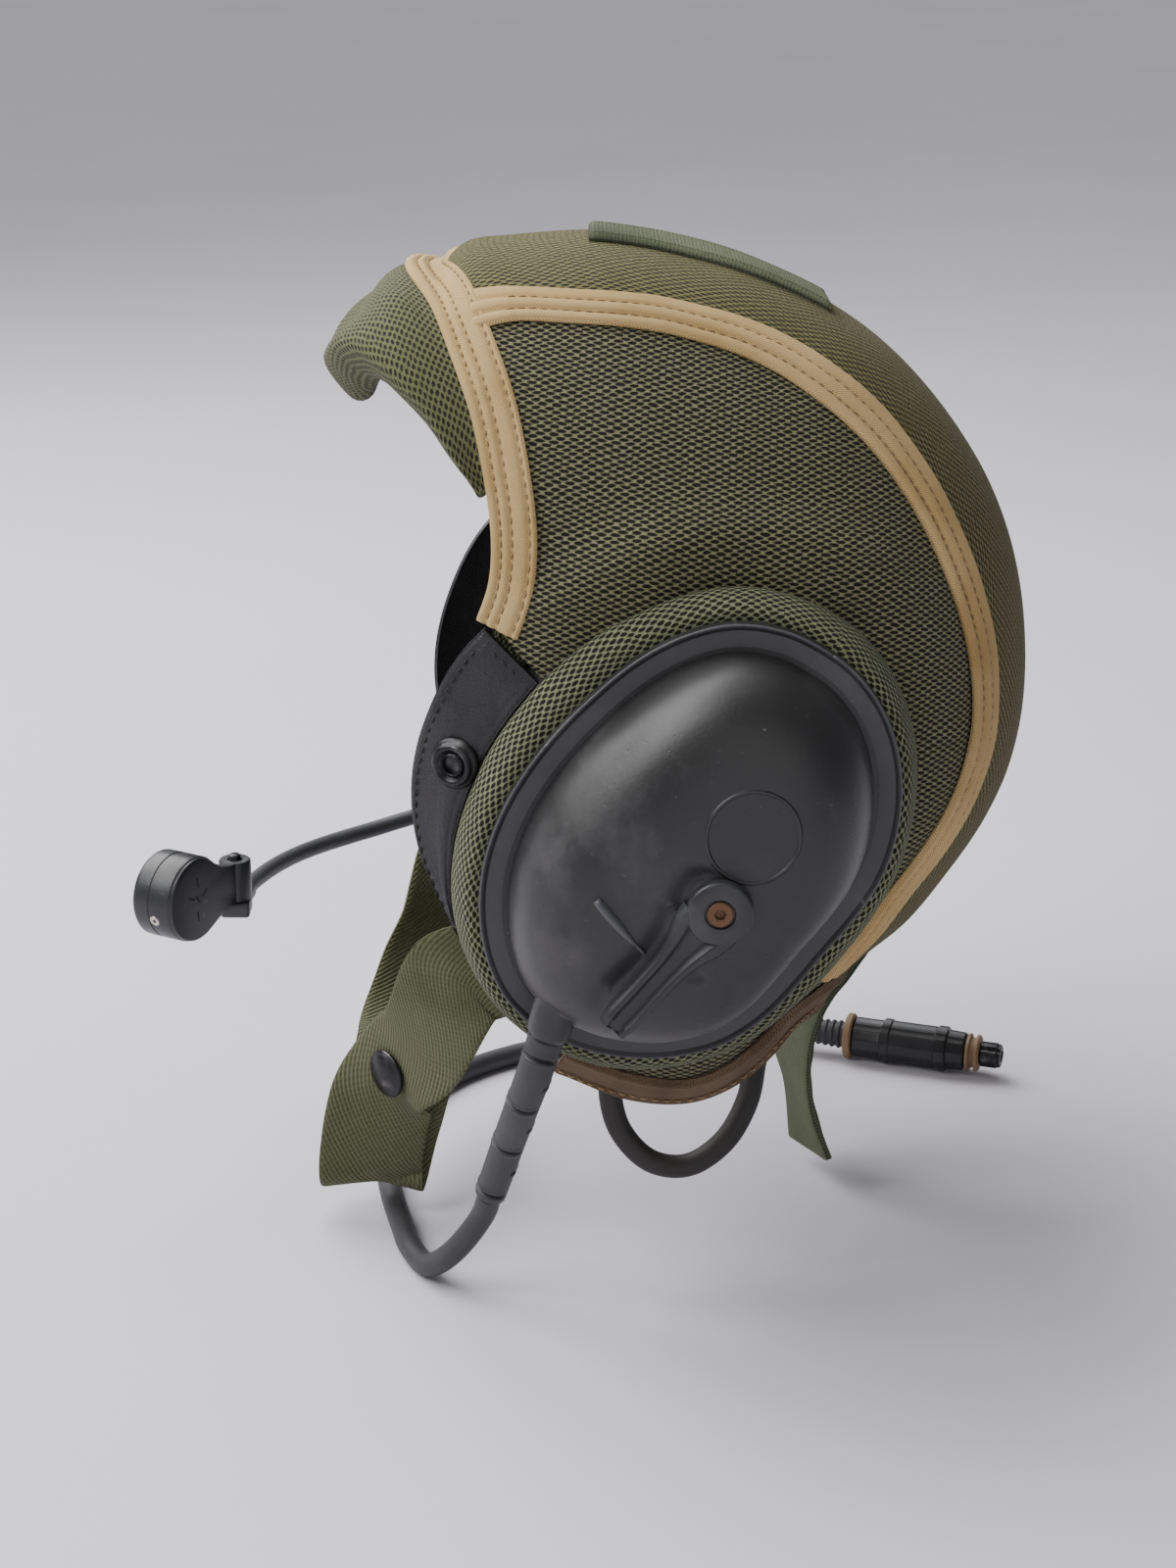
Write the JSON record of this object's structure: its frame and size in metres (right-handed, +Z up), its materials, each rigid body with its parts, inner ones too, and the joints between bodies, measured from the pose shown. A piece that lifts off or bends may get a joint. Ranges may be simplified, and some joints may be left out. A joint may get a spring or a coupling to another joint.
{
  "type": "tanker helmet",
  "caption": "Padded mesh crewman's cap with hard ear cups, chin strap, boom microphone and intercom lead.",
  "frame": {"origin": "where the top of the head touches the inside of the crown, in the middle plane", "axes": "+Z up, the wearer faces -Y, the wearer's left ear is at +X"},
  "size_m": [0.2482, 0.2852, 0.3032],
  "materials": {
    "mesh": "padded knitted mesh",
    "binding": "stitched cotton tape",
    "tape": "hook and loop tape",
    "webbing": "ribbed twill webbing",
    "leather": "soft, worn",
    "shell_plastic": "matte, scuffed",
    "brass": "tarnished",
    "dark_metal": "black finish, worn",
    "rubber": "matte",
    "plug_band": "moulded"
  },
  "bodies": {
    "cap": {"crown_panel": "mesh", "brow_panel": "mesh", "side_panel_left": "mesh", "side_panel_right": "mesh", "ear_surround_left": "mesh", "ear_surround_right": "mesh", "front_binding": "binding", "side_binding_left": "binding", "side_binding_right": "binding", "nape_hem": "binding", "crown_patch": "tape", "nape_strap": "tape", "chin_strap": "webbing", "ear_seal_left": "leather", "ear_seal_right": "leather", "leather_tab_left": "leather", "leather_tab_right": "leather", "earcup_shell_left": "shell_plastic", "earcup_shell_right": "shell_plastic", "pivot_screw_left": "brass", "pivot_screw_right": "brass", "snap_socket_left": "dark_metal", "snap_socket_right": "dark_metal", "strap_snap": "dark_metal", "strain_relief": "rubber", "lead": "rubber", "link_cable": "rubber", "plug_relief": "rubber", "plug_ring": "plug_band", "plug_body": "shell_plastic", "plug_collar": "shell_plastic", "plug_tip": "dark_metal"},
    "left_arm": {"swivel_arm_left": "shell_plastic"},
    "boom_arm": {"swivel_arm_right": "shell_plastic", "boom": "shell_plastic"},
    "microphone": {"microphone": "shell_plastic"}
  },
  "joints": [
    {"name": "left_arm_swing", "type": "hinge", "parent": "cap", "child": "left_arm", "pos_m": [0.1202, 0.0084, -0.1553], "axis": [1, 0, 0], "range_deg": [-2, 35]},
    {"name": "boom_arm_swing", "type": "hinge", "parent": "cap", "child": "boom_arm", "pos_m": [-0.1202, 0.0084, -0.1553], "axis": [1, 0, 0], "range_deg": [-26, 15]},
    {"name": "microphone_turn", "type": "hinge", "parent": "boom_arm", "child": "microphone", "pos_m": [-0.016, -0.1378, -0.1982], "axis": [0, 0, 1], "range_deg": [-30, 30]}
  ]
}
